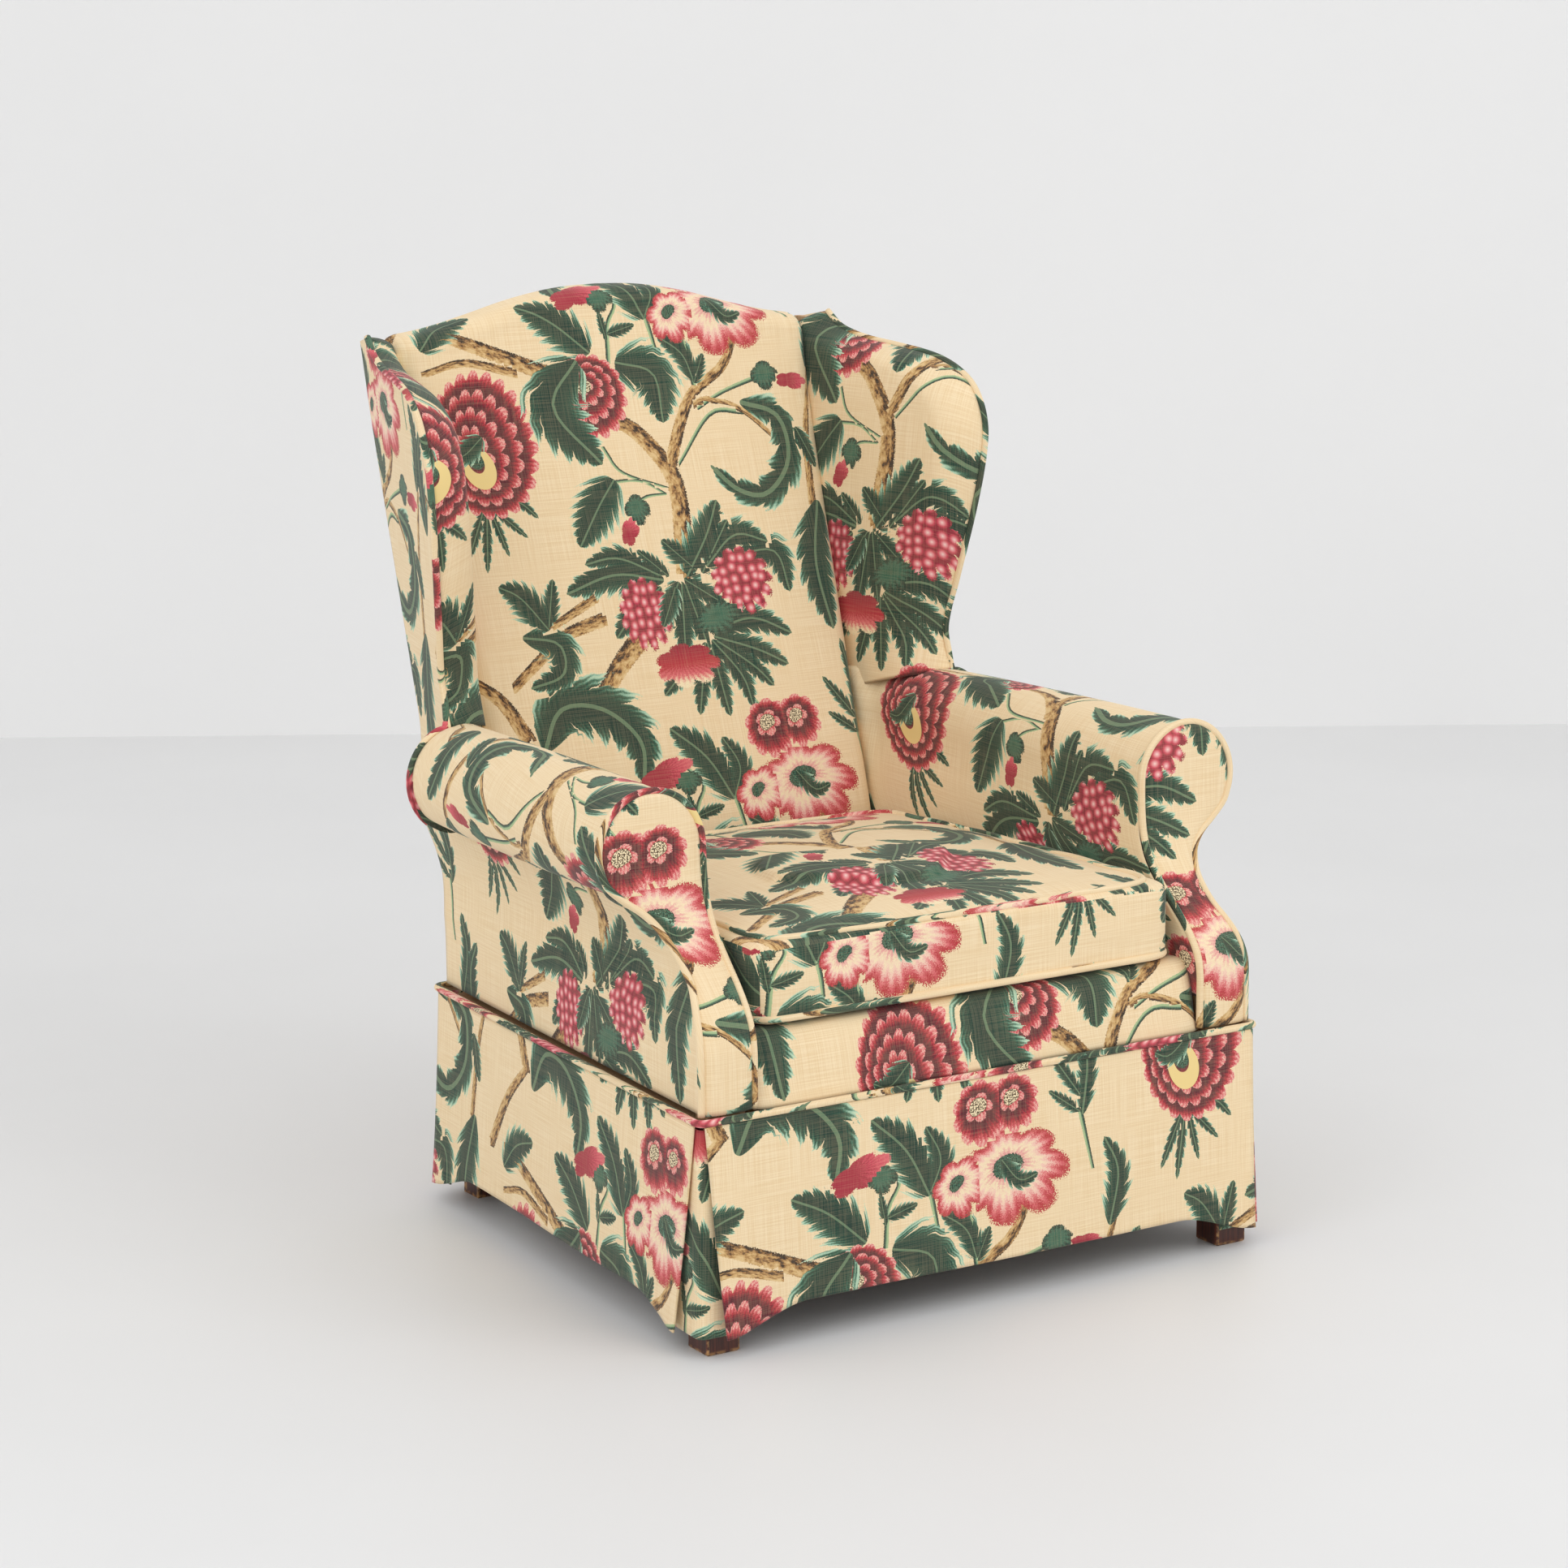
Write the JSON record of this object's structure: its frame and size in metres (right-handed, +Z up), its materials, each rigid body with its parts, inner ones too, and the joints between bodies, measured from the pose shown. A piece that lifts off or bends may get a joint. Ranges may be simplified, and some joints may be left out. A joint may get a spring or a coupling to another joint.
{
  "type": "upholstered wing armchair",
  "caption": "Wing armchair with rolled arms, a raked arched back, a loose box cushion over a sprung seat, piped edges and a flared skirt with corner pleats on square wooden legs.",
  "frame": {"origin": "on the floor, under the middle of the chair's box", "axes": "+Z up, -Y towards the front of the seat, +X towards the sitter's left side"},
  "size_m": [0.838, 0.8906, 1.066],
  "materials": {
    "floral_linen": "printed linen union with a slub weave, cream ground",
    "calico": "unbleached calico over hair and wadding",
    "foam": "cushion filling",
    "hessian": "coarse jute hessian",
    "jute_webbing": "woven jute webbing",
    "dust_cloth": "black cambric",
    "zip_tape": "woven zip tape with a nylon coil",
    "zip_metal": "dull plated slider",
    "stained_leg": "brown stained and varnished, worn pale on the edges",
    "beech": "planed beech",
    "steel_wire": "bare steel"
  },
  "bodies": {
    "frame": {"arm_facing_left": "floral_linen", "arm_facing_right": "floral_linen", "arm_post_left": "beech", "arm_post_right": "beech", "arm_rail_left": "beech", "arm_rail_right": "beech", "back_hessian": "hessian", "back_post_left": "beech", "back_post_right": "beech", "back_seat_rail": "beech", "back_webbing": "jute_webbing", "corner_block_screws": "steel_wire", "corner_blocks": "beech", "crest_rail": "beech", "dust_cover": "dust_cloth", "dust_cover_tacks": "steel_wire", "facing_piping_left": "floral_linen", "facing_piping_right": "floral_linen", "front_border": "floral_linen", "front_edge_roll": "calico", "front_leg_left": "stained_leg", "front_leg_right": "stained_leg", "front_seat_rail": "beech", "inside_arm_left": "floral_linen", "inside_arm_right": "floral_linen", "inside_back": "floral_linen", "inside_wing_left": "floral_linen", "inside_wing_right": "floral_linen", "lower_arm_rail_left": "beech", "lower_arm_rail_right": "beech", "lower_back_rail": "beech", "outside_arm_left": "floral_linen", "outside_arm_right": "floral_linen", "outside_back": "floral_linen", "outside_wing_left": "floral_linen", "outside_wing_right": "floral_linen", "seat_springs": "steel_wire", "seat_webbing": "jute_webbing", "side_seat_rail_left": "beech", "side_seat_rail_right": "beech", "skirt_back": "floral_linen", "skirt_front": "floral_linen", "skirt_piping": "floral_linen", "skirt_pleat_inserts": "floral_linen", "skirt_side_left": "floral_linen", "skirt_side_right": "floral_linen", "wing_piping_left": "floral_linen", "wing_piping_right": "floral_linen", "wing_post_left": "beech", "wing_post_right": "beech", "wing_top_rail_left": "beech", "wing_top_rail_right": "beech"},
    "seat_deck": {"spring_hessian": "hessian", "seat_pad": "calico"},
    "cushion": {"cushion_core": "foam", "cushion_cover": "floral_linen", "cushion_piping": "floral_linen", "cushion_zip": "zip_tape"},
    "zip_slider": {"zip_slider": "zip_metal"}
  },
  "joints": [
    {"name": "seat_spring", "type": "hinge", "parent": "frame", "child": "seat_deck", "pos_m": [0, -0.384, 0.325], "axis": [1, 0, 0], "range_deg": [-3.5, 0], "stiffness_Nm_per_rad": 560, "springref_deg": 5.73, "deforming": ["seat_springs"]},
    {"name": "cushion_lift", "type": "slide", "parent": "seat_deck", "child": "cushion", "axis": [0, 0, 1], "range_m": [0, 0.25]},
    {"name": "zip_travel", "type": "slide", "parent": "cushion", "child": "zip_slider", "axis": [1, 0, 0], "range_m": [0, 0.4]}
  ]
}
